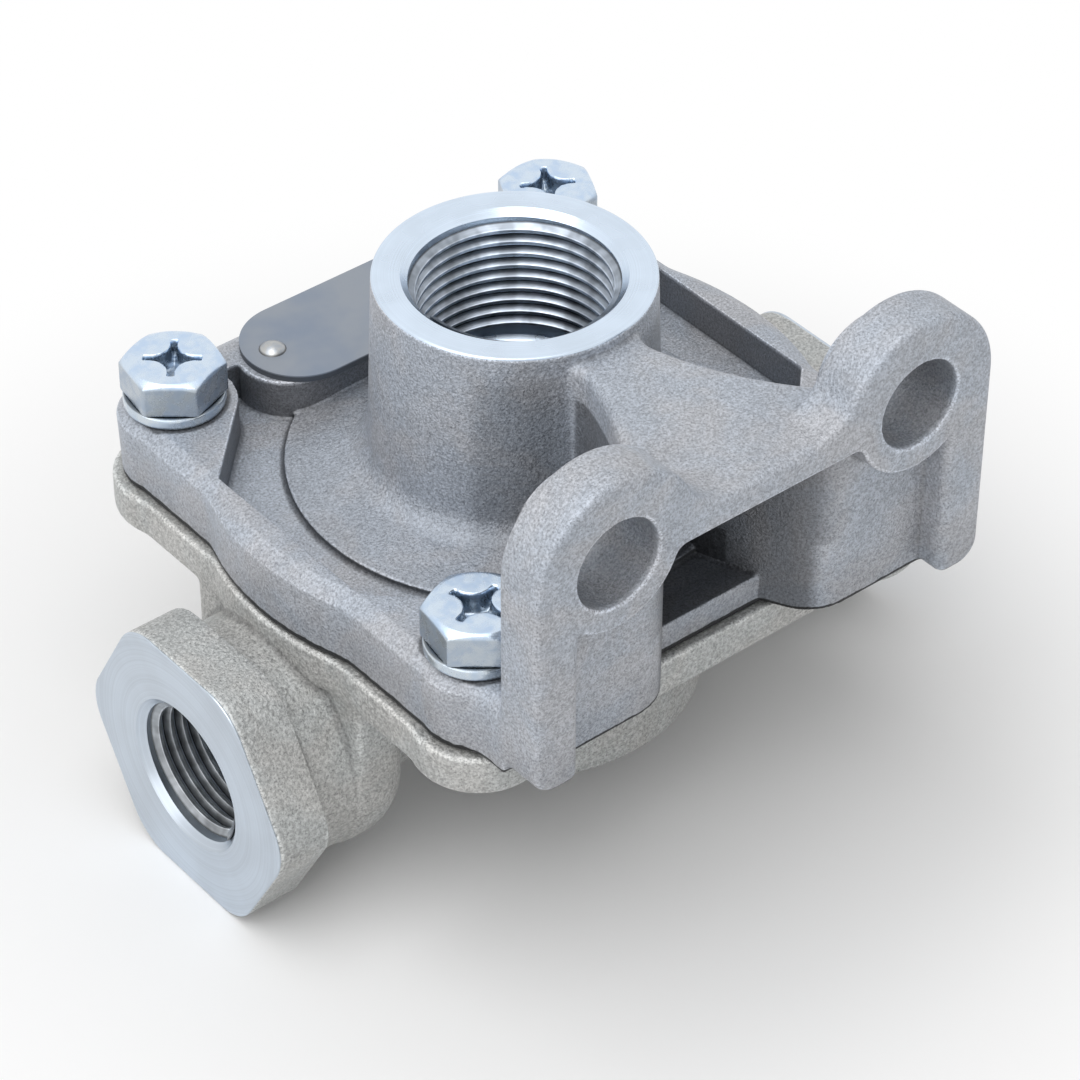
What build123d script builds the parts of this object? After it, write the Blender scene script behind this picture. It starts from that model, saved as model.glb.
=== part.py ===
from build123d import *
import os
from math import atan2, cos, degrees, radians, sqrt, tan

# Quick exhaust valve, in millimetres.
# Z is the valve axis and z = 0 is the machined face of the inlet boss.
# The delivery ports lie on X, and the mounting bracket stands on the -Y side.

# Joint between cover and body, below the inlet face, and heights from it
joint_z = -28.0
cover_height = 8.8
tray_floor_height = 4.0
bowl_depth = 24.0
port_depth = 16.1

# Flange: a square with a lobe round each screw and the round housing swelling its sides
screw_x = 25.5
screw_y = 25.6
lobe_r = 6.3
flange_half_x = 31.6
flange_front_y = -31.0
flange_back_y = 31.7
housing_r = 33.7
housing_back_y = 32.5
outline_blend_r = 5.0
body_ledge = 0.6
body_lobe_ledge = 0.9
body_housing_ledge = 0.1
border_slope_drop = 1.1
border_slope_width = 1.75
border_draft = 2.0
foot_edge_r = 2.0
parting_edge = 0.35

# Half angle of a drill's point, and how far cuts and joined forms run past each other
drill_point_angle = 59.0
overlap = 1.0

# Tray sunk in the cover between its border, the screw pads and the plate pad
tray_half_x = 29.7
tray_back_y = 26.6
screw_pad_r = 6.7
plate_pad_length = 33.6
plate_pad_width = 11.4
disc_r = 24.4
disc_step = 0.8
disc_rise = 1.2

# Inlet boss
boss_top_r = 14.8
boss_base_r = 15.6
boss_foot_r = 3.0
inlet_thread_r = 11.0
inlet_mouth_r = 11.75
inlet_thread_depth = 16.0
inlet_passage_r = 8.0
inlet_throat_height = 3.0

# Mounting bracket: two ears, a bar and two legs, seen from the front
bracket_face_y = -39.8
ear_thickness = 6.0
bracket_hole_x = 19.56
bracket_hole_z = -2.83
bracket_hole_r = 5.05
ear_r = 10.1
valley_r = 6.0
web_top_z = -1.4
web_edge_r = 1.1
bracket_edge_r = 0.8
leg_bottom_z = joint_z + 0.5
leg_corner_r = 2.7
strip_corner_r = 1.2
window_half_x = 13.2
window_top_z = -4.7
window_corner_r = 1.5
panel_depth = 3.3
panel_outer_x = 24.1
hole_pad_r = 7.8

# Web between the boss and the bar, and the pocket under it, in plan
web_root = (6.6, -12.4)
web_neck = (4.4, -17.2)
web_waist = (7.5, -24.8)
web_flare = (15.0, -34.2)
pocket_end = (3.4, -21.0)
pocket_waist = (8.6, -33.6)
pocket_mouth = (13.6, -36.5)

# Foot of each leg, sweeping into the lobe of the flange
foot_start = (31.1, -28.4)
foot_waist = (29.95, -30.5)
foot_end_y = -32.6

# Diaphragm chamber, its seats and the stroke between them
chamber_r = 19.6
chamber_depth = 4.4
diaphragm_r = 18.4
diaphragm_thickness = 2.8
diaphragm_lift = 1.6
exhaust_seat_depth = 3.8
exhaust_seat_r = 10.4
inlet_seat_r = 14.4
inlet_seat_width = 1.8
chamber_roof = 1.4
guide_count = 6
guide_gap = 0.3
guide_width = 2.4

# Lower body
body_flange_thickness = 5.0
body_flange_edge_r = 1.1
bowl_r = 20.7
bowl_edge_r = 1.2
annulus_outer_r = 17.6
annulus_inner_r = 11.4
bowl_floor_thickness = 2.2
exhaust_r = 8.0
spider_thickness = 2.6
mouth_depth = 4.0
mouth_r = 9.5
hub_r = 2.9
spoke_width = 2.2
spoke_count = 3

# Delivery necks and their hexagon ends
port_face_x = 44.1
hex_across_flats = 30.0
hex_length = 6.5
hex_corner_r = 6.0
neck_r = 13.6
neck_block_half_y = 14.0
neck_block_outer_x = 32.0
neck_block_inner_x = 24.3
neck_block_end_r = 4.6
neck_block_edge_r = 0.8
neck_waist_r = 9.5
neck_root_depth = 8.0
port_thread_r = 8.0
port_mouth_r = 8.8
port_thread_depth = 14.0
port_passage_r = 5.8
port_passage_end_x = 14.0

# Seal ring in the joint
seal_centre_r = 23.2
seal_width = 2.0
seal_height = 1.6
seal_side_gap = 0.1

# Cover screws and their spring washers
screw_r = 3.0
screw_clearance = 0.3
tapped_clearance = 0.05
screw_length = 14.0
head_across_flats = 10.0
head_height = 4.15
head_crown_inset = 0.35
head_crown_angle = 30.0
washer_thickness = 1.4
washer_outer_r = 5.5
washer_inner_r = 3.2
washer_split = 0.8
recess_depth = 2.3
recess_reach = 3.15
recess_tip_width = 0.95
recess_core_r = 1.4
recess_taper = 8.0
# Heading of one flat of each head and of one arm of its cross, in degrees
screw_places = {
    "left": (-screw_x, screw_y, 50.5, 50.5),
    "near": (-screw_x, -screw_y, 50.5, 15.5),
    "back": (screw_x, screw_y, 35.0, 60.0),
    "right": (screw_x, -screw_y, 12.0, 40.0),
}

# Blank plate on its pad, with a rivet at each end
plate_length = 32.0
plate_width = 13.4
plate_centre_y = 24.95
plate_thickness = 0.8
rivet_x = 12.8
rivet_y = 25.4
rivet_head_r = 1.5
rivet_head_height = 0.7
rivet_shank_r = 1.0
rivet_shank_length = 4.0
rivet_clearance = 0.03
rivet_end_gap = 0.2

# Rubber dust flap in the exhaust mouth, its washer and its screw
flap_r = 8.9
flap_thickness = 1.0
flap_washer_r = 4.2
flap_washer_thickness = 0.7
flap_screw_r = 1.5
flap_screw_head_r = 2.8
flap_screw_head_height = 1.5
flap_screw_clearance = 0.04
flap_slot_length = 3.0
flap_slot_width = 0.7
flap_slot_depth = 0.9

os.makedirs("parts", exist_ok=True)

# Levels and radii that follow from the sizes above
border_z = joint_z + cover_height
ridge_z = border_z - border_slope_drop
floor_z = joint_z + tray_floor_height
port_z = joint_z - port_depth
bowl_bottom_z = joint_z - bowl_depth
annulus_floor_z = bowl_bottom_z + bowl_floor_thickness
spider_bottom_z = bowl_bottom_z + mouth_depth
spider_top_z = spider_bottom_z + spider_thickness
chamber_floor_z = joint_z - chamber_depth
exhaust_seat_z = joint_z - exhaust_seat_depth
inlet_seat_z = exhaust_seat_z + diaphragm_thickness + diaphragm_lift
chamber_roof_z = joint_z + chamber_roof
flange_bottom_z = joint_z - body_flange_thickness
head_bottom_z = border_z + washer_thickness
groove_inner_r = seal_centre_r - seal_width / 2 - seal_side_gap
groove_outer_r = seal_centre_r + seal_width / 2 + seal_side_gap


def flange_outline(ledge, lobe_ledge, housing_ledge):
    """Square flange with a lobe round each screw, swollen by the round housing but flat in front."""
    Circle(housing_r + housing_ledge)
    back_y = housing_back_y + ledge
    with Locations((0, back_y / 2 - screw_y / 2)):
        Rectangle(3 * housing_r, back_y + screw_y, mode=Mode.INTERSECT)
    depth = flange_back_y - flange_front_y + 2 * ledge
    with Locations((0, (flange_back_y + flange_front_y) / 2)):
        Rectangle(2 * screw_x, depth)
    Rectangle(2 * (flange_half_x + ledge), 2 * screw_y)
    with GridLocations(2 * screw_x, 2 * screw_y, 2, 2):
        Circle(lobe_r + lobe_ledge)


def tray_outline():
    """Floor of the tray: a square less the screw pads, the border's slants beside them and the plate pad."""
    reach = 3 * housing_r
    with Locations((0, tray_back_y)):
        Rectangle(2 * tray_half_x, reach, align=(Align.CENTER, Align.MAX))
    # The slant touches the pad's circle at 45 degrees and runs out past the tray's side
    touch = screw_pad_r * cos(radians(45))
    pad_side_x = screw_x - screw_pad_r
    slant_end_x = tray_half_x + overlap
    slant_end_y = screw_x + screw_y - 2 * touch - slant_end_x
    corner = [(pad_side_x, screw_y), (screw_x - touch, screw_y - touch),
              (slant_end_x, slant_end_y), (slant_end_x, reach), (pad_side_x, reach)]
    for side in (-1, 1):
        for end in (-1, 1):
            Polygon(*[(side * x, end * y) for x, y in corner], align=None, mode=Mode.SUBTRACT)
    with GridLocations(2 * screw_x, 2 * screw_y, 2, 2):
        Circle(screw_pad_r, mode=Mode.SUBTRACT)
    with Locations((0, plate_centre_y)):
        SlotOverall(plate_pad_length, plate_pad_width, mode=Mode.SUBTRACT)
        Rectangle(plate_pad_length - plate_pad_width, plate_pad_width, mode=Mode.SUBTRACT)


def bay_outline(half_x):
    """Front view of the bay between the legs, bounded above by the bar and the pads round the holes."""
    height = window_top_z - 2 * leg_bottom_z
    with Locations((0, window_top_z)):
        Rectangle(2 * half_x, height, align=(Align.CENTER, Align.MAX))
    with Locations((-bracket_hole_x, bracket_hole_z), (bracket_hole_x, bracket_hole_z)):
        Circle(hole_pad_r, mode=Mode.SUBTRACT)


def drilled_bore(mouth_r, thread_r, depth, passage_r, end):
    """Half section of a tapped hole, from the mouth inward: chamfer, thread, drill point and passage."""
    chamfer = mouth_r - thread_r
    point = (thread_r - passage_r) / tan(radians(drill_point_angle))
    return [(0, 0), (0, mouth_r), (chamfer, thread_r), (depth, thread_r),
            (depth + point, passage_r), (end, passage_r), (end, 0)]


# Web that ties the bar of the bracket to the boss, flaring out into both legs
with BuildPart() as web:
    with BuildSketch(Plane.XY.offset(leg_bottom_z)):
        with BuildLine():
            flare = ThreePointArc(web_flare, web_waist, web_neck)
            TangentArc(web_neck, web_root, tangent=flare % 1)
            Line(web_root, (0, web_root[1]))
            Polyline(web_flare, (web_flare[0], bracket_face_y + panel_depth),
                     (0, bracket_face_y + panel_depth))
            mirror(about=Plane.YZ)
        make_face()
    extrude(amount=web_top_z - leg_bottom_z)
    fillet(web.faces().sort_by(Axis.Z)[-1].edges().filter_by(GeomType.CIRCLE), web_edge_r)
    # Pocket under the web, open to the front
    with BuildSketch(Plane.XY.offset(leg_bottom_z)):
        with BuildLine():
            mouth = TangentArc(pocket_mouth, pocket_waist, tangent=(-1, 0))
            TangentArc(pocket_waist, pocket_end, tangent=mouth % 1)
            Line(pocket_end, (0, pocket_end[1]))
            Polyline(pocket_mouth, (pocket_mouth[0], bracket_face_y), (0, bracket_face_y))
            mirror(about=Plane.YZ)
        make_face()
    extrude(amount=window_top_z - leg_bottom_z, mode=Mode.SUBTRACT)

# Bracket plate: ears round the two holes, the valley between them and the legs
with BuildPart() as bracket:
    with BuildSketch(Plane.XZ.offset(-bracket_face_y)) as outline:
        with Locations((-bracket_hole_x, bracket_hole_z), (bracket_hole_x, bracket_hole_z)):
            Circle(ear_r)
        with Locations((0, (web_top_z + leg_bottom_z) / 2)):
            Rectangle(2 * bracket_hole_x, web_top_z - leg_bottom_z)
        with Locations((0, (bracket_hole_z + leg_bottom_z) / 2)):
            Rectangle(2 * (bracket_hole_x + ear_r), bracket_hole_z - leg_bottom_z)
        fillet(outline.vertices().filter_by_position(Axis.Y, web_top_z - 0.1, web_top_z + 0.1), valley_r)
        fillet(outline.vertices().group_by(Axis.Y)[0], leg_corner_r)
    extrude(amount=-ear_thickness)
    contour = bracket.edges().filter_by_position(Axis.Z, leg_bottom_z + leg_corner_r,
                                                 bracket_hole_z + ear_r + overlap)
    fillet(contour.filter_by(Plane.XZ), bracket_edge_r)
    # The bay between the legs goes right through, and the legs beside it are sunk at the front
    with BuildSketch(Plane.XZ.offset(-bracket_face_y)) as window:
        bay_outline(window_half_x)
        fillet(window.vertices().group_by(Axis.Y)[-1], window_corner_r)
    extrude(amount=-ear_thickness, mode=Mode.SUBTRACT)
    with BuildSketch(Plane.XZ.offset(-bracket_face_y)) as panels:
        bay_outline(panel_outer_x)
        fillet(panels.vertices().group_by(Axis.Y)[-1], window_corner_r)
    extrude(amount=-panel_depth, mode=Mode.SUBTRACT)
    strip_ends = bracket.edges().filter_by(Axis.Y).group_by(Axis.Z)[0]
    inner_ends = strip_ends.filter_by(lambda edge: abs(abs(edge.center().X) - panel_outer_x) < 0.1)
    fillet(inner_ends, strip_corner_r)

# Foot of one leg: it carries the lobe of the flange on into the side of the leg
with BuildPart() as foot:
    leg_side_x = bracket_hole_x + ear_r
    leg_back_y = bracket_face_y + ear_thickness - bracket_edge_r - 0.1
    with BuildSketch(Plane.XY.offset(leg_bottom_z)):
        with BuildLine():
            ThreePointArc(foot_start, foot_waist, (leg_side_x, foot_end_y))
            Polyline((leg_side_x, foot_end_y), (leg_side_x, leg_back_y), (window_half_x, leg_back_y),
                     (window_half_x, foot_start[1]), foot_start)
        make_face()
    extrude(amount=border_z - leg_bottom_z)
    top_edges = foot.faces().sort_by(Axis.Z)[-1].edges()
    outer_top = top_edges.filter_by_position(Axis.X, leg_side_x - 0.1, foot_start[0])
    fillet(outer_top, foot_edge_r)

with BuildPart() as cover:
    # The border is widest at its ridge: the side is drafted inward below it, and the top slopes up to it
    with BuildSketch(Plane.XY.offset(ridge_z)) as cover_flange:
        flange_outline(0, 0, 0)
        fillet(cover_flange.vertices(), outline_blend_r)
    extrude(amount=joint_z - ridge_z, taper=border_draft)
    with BuildSketch(Plane.XY.offset(ridge_z)):
        add(cover_flange.sketch)
    extrude(amount=border_z - ridge_z, taper=degrees(atan2(border_slope_width, border_slope_drop)))
    chamfer(cover.faces().sort_by(Axis.Z)[0].edges(), parting_edge)
    with BuildSketch(Plane.XY.offset(floor_z)):
        tray_outline()
    extrude(amount=border_z - floor_z + overlap, mode=Mode.SUBTRACT)
    add(foot.part)
    add(mirror(foot.part, about=Plane.YZ))
    add(bracket.part)
    add(web.part)
    # Disc and boss, one turned form with a drafted wall and a round foot
    with BuildSketch(Plane.XZ) as boss_section:
        with BuildLine():
            disc_z = floor_z + disc_step
            foot_z = disc_z + disc_rise
            Polyline((0, floor_z - overlap), (disc_r, floor_z - overlap), (disc_r, disc_z),
                     (boss_base_r, foot_z), (boss_top_r, 0), (0, 0), close=True)
        make_face()
        fillet(boss_section.vertices().filter_by_position(Axis.X, boss_base_r - 0.1, boss_base_r + 0.1),
               boss_foot_r)
    revolve(axis=Axis.Z)
    # Cavity from below: chamber roof, inlet seat ring and passage
    with BuildSketch(Plane.XZ):
        with BuildLine():
            throat_z = inlet_seat_z + inlet_throat_height
            Polyline((0, joint_z - overlap), (chamber_r, joint_z - overlap), (chamber_r, chamber_roof_z),
                     (inlet_seat_r, chamber_roof_z), (inlet_seat_r, inlet_seat_z),
                     (inlet_seat_r - inlet_seat_width, inlet_seat_z),
                     (inlet_passage_r, throat_z), (0, throat_z), close=True)
        make_face()
    revolve(axis=Axis.Z, mode=Mode.SUBTRACT)
    with BuildSketch(Plane.XZ):
        with BuildLine():
            bore = drilled_bore(inlet_mouth_r, inlet_thread_r, inlet_thread_depth,
                                inlet_passage_r, -joint_z)
            Polyline(*[(r, -s) for s, r in bore], close=True)
        make_face()
    revolve(axis=Axis.Z, mode=Mode.SUBTRACT)
    with Locations(Plane.XY.offset(border_z)):
        with GridLocations(2 * screw_x, 2 * screw_y, 2, 2):
            Hole(screw_r + screw_clearance, depth=border_z - joint_z)
        with Locations((-rivet_x, rivet_y), (rivet_x, rivet_y)):
            Hole(rivet_shank_r + rivet_clearance, depth=rivet_shank_length)
    with Locations(Plane.XZ.offset(-bracket_face_y)):
        with Locations((-bracket_hole_x, bracket_hole_z), (bracket_hole_x, bracket_hole_z)):
            Hole(bracket_hole_r, depth=ear_thickness)
cover.part.label = "cover"
export_step(cover.part, "parts/cover.step")

with BuildPart() as body:
    with BuildSketch(Plane.XY.offset(joint_z)) as body_flange:
        flange_outline(body_ledge, body_lobe_ledge, body_housing_ledge)
        fillet(body_flange.vertices(), outline_blend_r)
    extrude(amount=-body_flange_thickness)
    fillet(body.faces().sort_by(Axis.Z)[0].edges(), body_flange_edge_r)
    with BuildSketch(Plane.XY.offset(bowl_bottom_z)):
        Circle(bowl_r)
    extrude(amount=joint_z - bowl_bottom_z - overlap)
    fillet(body.faces().sort_by(Axis.Z)[0].edges(), bowl_edge_r)
    for side in (-1, 1):
        port_plane = Plane((0, 0, port_z), x_dir=(0, side, 0), z_dir=(side, 0, 0))
        # Block under the flange: upright sides, round below and at its inner end
        with BuildSketch(port_plane.offset(neck_block_inner_x)):
            Circle(neck_block_half_y)
            Rectangle(2 * neck_block_half_y, flange_bottom_z + overlap - port_z,
                      align=(Align.CENTER, Align.MIN))
        extrude(amount=neck_block_outer_x - neck_block_inner_x)
        block_ends = ((neck_block_inner_x, neck_block_end_r), (neck_block_outer_x, neck_block_edge_r))
        for end_x, end_r in block_ends:
            end_edges = body.edges().filter_by_position(Axis.Z, 3 * port_z, flange_bottom_z - 0.1)
            fillet(end_edges.filter_by(lambda edge: abs(edge.center().X - side * end_x) < 0.01), end_r)
        with BuildSketch(port_plane.offset(bowl_r - neck_root_depth)):
            Circle(neck_waist_r)
        extrude(amount=neck_block_inner_x - bowl_r + neck_root_depth)
        with BuildSketch(port_plane.offset(neck_block_outer_x)):
            Circle(neck_r)
        extrude(amount=port_face_x - hex_length - neck_block_outer_x)
        with BuildSketch(port_plane.offset(port_face_x)) as hexagon:
            RegularPolygon(hex_across_flats / 2, 6, major_radius=False)
            fillet(hexagon.vertices(), hex_corner_r)
        extrude(amount=-hex_length)
    # Chamber, ring chamber round the exhaust tube, exhaust passage and mouth
    with BuildSketch(Plane.XZ):
        with BuildLine():
            Polyline((0, joint_z), (chamber_r, joint_z), (chamber_r, chamber_floor_z),
                     (annulus_outer_r, chamber_floor_z), (annulus_outer_r, annulus_floor_z),
                     (annulus_inner_r, annulus_floor_z), (exhaust_seat_r, exhaust_seat_z),
                     (exhaust_r, exhaust_seat_z), (exhaust_r, spider_top_z), (0, spider_top_z), close=True)
        make_face()
    revolve(axis=Axis.Z, mode=Mode.SUBTRACT)
    with BuildSketch(Plane.XY.offset(bowl_bottom_z)):
        Circle(mouth_r)
    extrude(amount=spider_bottom_z - bowl_bottom_z, mode=Mode.SUBTRACT)
    with BuildSketch(Plane.XY.offset(spider_bottom_z)):
        Circle(exhaust_r)
        Circle(hub_r, mode=Mode.SUBTRACT)
        with PolarLocations(exhaust_r / 2, spoke_count):
            Rectangle(exhaust_r + overlap, spoke_width, mode=Mode.SUBTRACT)
    extrude(amount=spider_top_z - spider_bottom_z, mode=Mode.SUBTRACT)
    with Locations(Plane.XY.offset(spider_top_z)):
        Hole(flap_screw_r + flap_screw_clearance, depth=spider_top_z - spider_bottom_z)
    # Ribs that keep the diaphragm central
    with BuildSketch(Plane.XY.offset(chamber_floor_z)):
        with PolarLocations(diaphragm_r + guide_gap, guide_count, start_angle=180 / guide_count):
            Rectangle(chamber_r + overlap - diaphragm_r - guide_gap, guide_width,
                      align=(Align.MIN, Align.CENTER))
    extrude(amount=joint_z - chamber_floor_z)
    # Groove for the seal ring
    with BuildSketch(Plane.XY.offset(joint_z)):
        Circle(groove_outer_r)
        Circle(groove_inner_r, mode=Mode.SUBTRACT)
    extrude(amount=-seal_height, mode=Mode.SUBTRACT)
    for side in (-1, 1):
        with BuildSketch(Plane.XZ):
            with BuildLine():
                bore = drilled_bore(port_mouth_r, port_thread_r, port_thread_depth, port_passage_r,
                                    port_face_x - port_passage_end_x)
                Polyline(*[(side * (port_face_x - s), port_z + r) for s, r in bore], close=True)
            make_face()
        revolve(axis=Axis((0, 0, port_z), (1, 0, 0)), mode=Mode.SUBTRACT)
    with Locations(Plane.XY.offset(joint_z)):
        with GridLocations(2 * screw_x, 2 * screw_y, 2, 2):
            Hole(screw_r + tapped_clearance, depth=body_flange_thickness)
body.part.label = "body"
export_step(body.part, "parts/body.step")

with BuildPart() as diaphragm:
    with BuildSketch(Plane.XY.offset(exhaust_seat_z)):
        Circle(diaphragm_r)
    extrude(amount=diaphragm_thickness)
    chamfer(diaphragm.edges(), diaphragm_thickness / 8)
diaphragm.part.label = "diaphragm"
export_step(diaphragm.part, "parts/diaphragm.step")

with BuildPart() as cover_seal:
    with BuildSketch(Plane.XY.offset(joint_z)):
        Circle(seal_centre_r + seal_width / 2)
        Circle(seal_centre_r - seal_width / 2, mode=Mode.SUBTRACT)
    extrude(amount=-seal_height)
    chamfer(cover_seal.edges(), seal_width / 8)
cover_seal.part.label = "cover_seal"
export_step(cover_seal.part, "parts/cover_seal.step")

# Hexagon screws with a cross recess, each on a split spring washer
for place, (x, y, flat_heading, cross_heading) in screw_places.items():
    with BuildPart() as washer:
        with BuildSketch(Plane((x, y, border_z))):
            Circle(washer_outer_r)
            Circle(washer_inner_r, mode=Mode.SUBTRACT)
        extrude(amount=washer_thickness)
        chamfer(washer.edges().filter_by(GeomType.CIRCLE).sort_by(SortBy.RADIUS)[-2:], washer_thickness / 7)
        # The two ends nearly touch when the washer is tight
        split_plane = Plane((x, y, border_z + washer_thickness / 2)).rotated((0, 0, flat_heading))
        with BuildSketch(split_plane):
            with Locations(((washer_inner_r + washer_outer_r) / 2, 0)):
                Rectangle(washer_outer_r - washer_inner_r + overlap, washer_split)
        extrude(amount=washer_thickness, both=True, mode=Mode.SUBTRACT)
    washer.part.label = f"lock_washer_{place}"
    export_step(washer.part, f"parts/lock_washer_{place}.step")

    with BuildPart() as screw:
        with BuildSketch(Plane((x, y, head_bottom_z))):
            RegularPolygon(head_across_flats / 2, 6, major_radius=False, rotation=flat_heading + 30)
        extrude(amount=head_height)
        # Crown: the corners are turned down by a shallow cone
        crown_r = head_across_flats / 2 - head_crown_inset
        corner_r = head_across_flats / sqrt(3) + overlap
        with BuildSketch(Plane((x, y, head_bottom_z), x_dir=(1, 0, 0), z_dir=(0, -1, 0))):
            with BuildLine():
                drop = (corner_r - crown_r) * tan(radians(head_crown_angle))
                tip = -screw_length - overlap
                Polyline((0, tip), (corner_r, tip), (corner_r, head_height - drop),
                         (crown_r, head_height), (0, head_height), close=True)
            make_face()
        revolve(axis=Axis((x, y, 0), (0, 0, 1)), mode=Mode.INTERSECT)
        with BuildSketch(Plane((x, y, head_bottom_z))):
            Circle(screw_r)
        extrude(amount=-screw_length)
        chamfer(screw.faces().sort_by(Axis.Z)[0].edges(), screw_r / 5)
        # Cross recess: four tips with curved sides between them
        cross_plane = Plane((x, y, head_bottom_z + head_height)).rotated((0, 0, cross_heading))
        tip_half = recess_tip_width / 2
        core = recess_core_r / sqrt(2)
        with BuildSketch(cross_plane):
            with BuildLine():
                for right, fore in ((1, 1), (-1, 1), (-1, -1), (1, -1)):
                    ThreePointArc((right * recess_reach, fore * tip_half), (right * core, fore * core),
                                  (right * tip_half, fore * recess_reach))
                for way in (-1, 1):
                    Line((way * recess_reach, -tip_half), (way * recess_reach, tip_half))
                    Line((-tip_half, way * recess_reach), (tip_half, way * recess_reach))
            make_face()
        extrude(amount=-recess_depth, taper=recess_taper, mode=Mode.SUBTRACT)
    screw.part.label = f"cover_screw_{place}"
    export_step(screw.part, f"parts/cover_screw_{place}.step")

with BuildPart() as name_plate:
    with BuildSketch(Plane((0, plate_centre_y, border_z))):
        SlotOverall(plate_length, plate_width)
        with Locations((-rivet_x, rivet_y - plate_centre_y), (rivet_x, rivet_y - plate_centre_y)):
            Circle(rivet_shank_r + rivet_clearance, mode=Mode.SUBTRACT)
    extrude(amount=plate_thickness)
name_plate.part.label = "name_plate"
export_step(name_plate.part, "parts/name_plate.step")

for place, x in (("left", -rivet_x), ("right", rivet_x)):
    with BuildPart() as rivet:
        dome_r = (rivet_head_r**2 + rivet_head_height**2) / (2 * rivet_head_height)
        plate_top_z = border_z + plate_thickness
        with BuildSketch(Plane((x, rivet_y, plate_top_z), x_dir=(1, 0, 0), z_dir=(0, -1, 0))):
            with BuildLine():
                shank_end = -plate_thickness - rivet_shank_length + rivet_end_gap
                Polyline((0, rivet_head_height), (0, shank_end), (rivet_shank_r, shank_end),
                         (rivet_shank_r, 0), (rivet_head_r, 0))
                RadiusArc((0, rivet_head_height), (rivet_head_r, 0), dome_r)
            make_face()
        revolve(axis=Axis((x, rivet_y, 0), (0, 0, 1)))
    rivet.part.label = f"name_plate_rivet_{place}"
    export_step(rivet.part, f"parts/name_plate_rivet_{place}.step")

with BuildPart() as exhaust_flap:
    with BuildSketch(Plane.XY.offset(spider_bottom_z)):
        Circle(flap_r)
        Circle(flap_screw_r + flap_screw_clearance, mode=Mode.SUBTRACT)
    extrude(amount=-flap_thickness)
    chamfer(exhaust_flap.faces().sort_by(Axis.Z)[0].outer_wire().edges(), flap_thickness / 4)
exhaust_flap.part.label = "exhaust_flap"
export_step(exhaust_flap.part, "parts/exhaust_flap.step")

with BuildPart() as flap_washer:
    with BuildSketch(Plane.XY.offset(spider_bottom_z - flap_thickness)):
        Circle(flap_washer_r)
        Circle(flap_screw_r + flap_screw_clearance, mode=Mode.SUBTRACT)
    extrude(amount=-flap_washer_thickness)
    chamfer(flap_washer.faces().sort_by(Axis.Z)[0].outer_wire().edges(), flap_washer_thickness / 4)
flap_washer.part.label = "flap_washer"
export_step(flap_washer.part, "parts/flap_washer.step")

with BuildPart() as flap_screw:
    flap_seat_z = spider_bottom_z - flap_thickness - flap_washer_thickness
    with BuildSketch(Plane.XY.offset(flap_seat_z)):
        Circle(flap_screw_head_r)
    extrude(amount=-flap_screw_head_height)
    fillet(flap_screw.faces().sort_by(Axis.Z)[0].edges(), flap_screw_head_height / 2)
    with BuildSketch(Plane.XY.offset(flap_seat_z)):
        Circle(flap_screw_r)
    extrude(amount=spider_top_z - flap_seat_z)
    # Cross slot in the head
    with BuildSketch(Plane.XY.offset(flap_seat_z - flap_screw_head_height)):
        Rectangle(flap_slot_length, flap_slot_width)
        Rectangle(flap_slot_width, flap_slot_length)
    extrude(amount=flap_slot_depth, mode=Mode.SUBTRACT)
flap_screw.part.label = "flap_screw"
export_step(flap_screw.part, "parts/flap_screw.step")
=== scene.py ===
from math import acos, cos, hypot, pi, radians, sin, sqrt, tan

import bmesh
import bpy
from mathutils import Matrix, Vector


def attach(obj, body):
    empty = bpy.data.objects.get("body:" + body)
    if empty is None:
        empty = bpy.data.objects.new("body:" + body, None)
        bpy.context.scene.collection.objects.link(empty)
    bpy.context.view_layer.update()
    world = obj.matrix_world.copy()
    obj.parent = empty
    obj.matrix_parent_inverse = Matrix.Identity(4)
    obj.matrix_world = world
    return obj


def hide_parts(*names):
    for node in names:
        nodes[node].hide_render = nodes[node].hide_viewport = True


MM = 0.001

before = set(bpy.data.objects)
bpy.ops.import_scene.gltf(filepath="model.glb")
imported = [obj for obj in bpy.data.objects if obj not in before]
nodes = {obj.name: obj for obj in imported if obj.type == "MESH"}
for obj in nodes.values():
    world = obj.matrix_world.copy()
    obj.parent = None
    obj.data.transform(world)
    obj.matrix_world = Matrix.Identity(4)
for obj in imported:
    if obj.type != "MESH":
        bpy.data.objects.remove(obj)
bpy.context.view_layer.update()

# Sizes of the valve in millimetres, as in the part's source
joint_z = -28.0
cover_height = 8.8
tray_floor_height = 4.0
port_depth = 16.1
border_z = joint_z + cover_height
floor_z = joint_z + tray_floor_height
port_z = joint_z - port_depth
port_face_x = 44.1
tray_half_x = 29.7
tray_back_y = 26.6
disc_r = 24.4
boss_top_r = 14.8
boss_base_r = 15.6
inlet_thread_r = 11.0
inlet_mouth_r = 11.75
inlet_thread_depth = 16.0
inlet_passage_r = 8.0
port_thread_r = 8.0
port_mouth_r = 8.8
port_thread_depth = 14.0
port_passage_r = 5.8
drill_point_angle = 59.0
hex_half = 15.0
hex_corner_r = 6.0
standing_z = port_z - hex_half
flange_front_y = -31.0
bracket_face_y = -39.8
ear_thickness = 6.0
ear_back_y = bracket_face_y + ear_thickness
bracket_hole_x = 19.56
bracket_hole_z = -2.83
bracket_hole_r = 5.05
window_half_x = 13.2
window_top_z = -4.7
screw_x = 25.5
screw_y = 25.6
washer_outer_r = 5.5
washer_thickness = 1.4
head_height = 4.15
head_bottom_z = border_z + washer_thickness
head_top_z = head_bottom_z + head_height
recess_reach = 3.15
plate_thickness = 0.8
plate_top_z = border_z + plate_thickness

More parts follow.
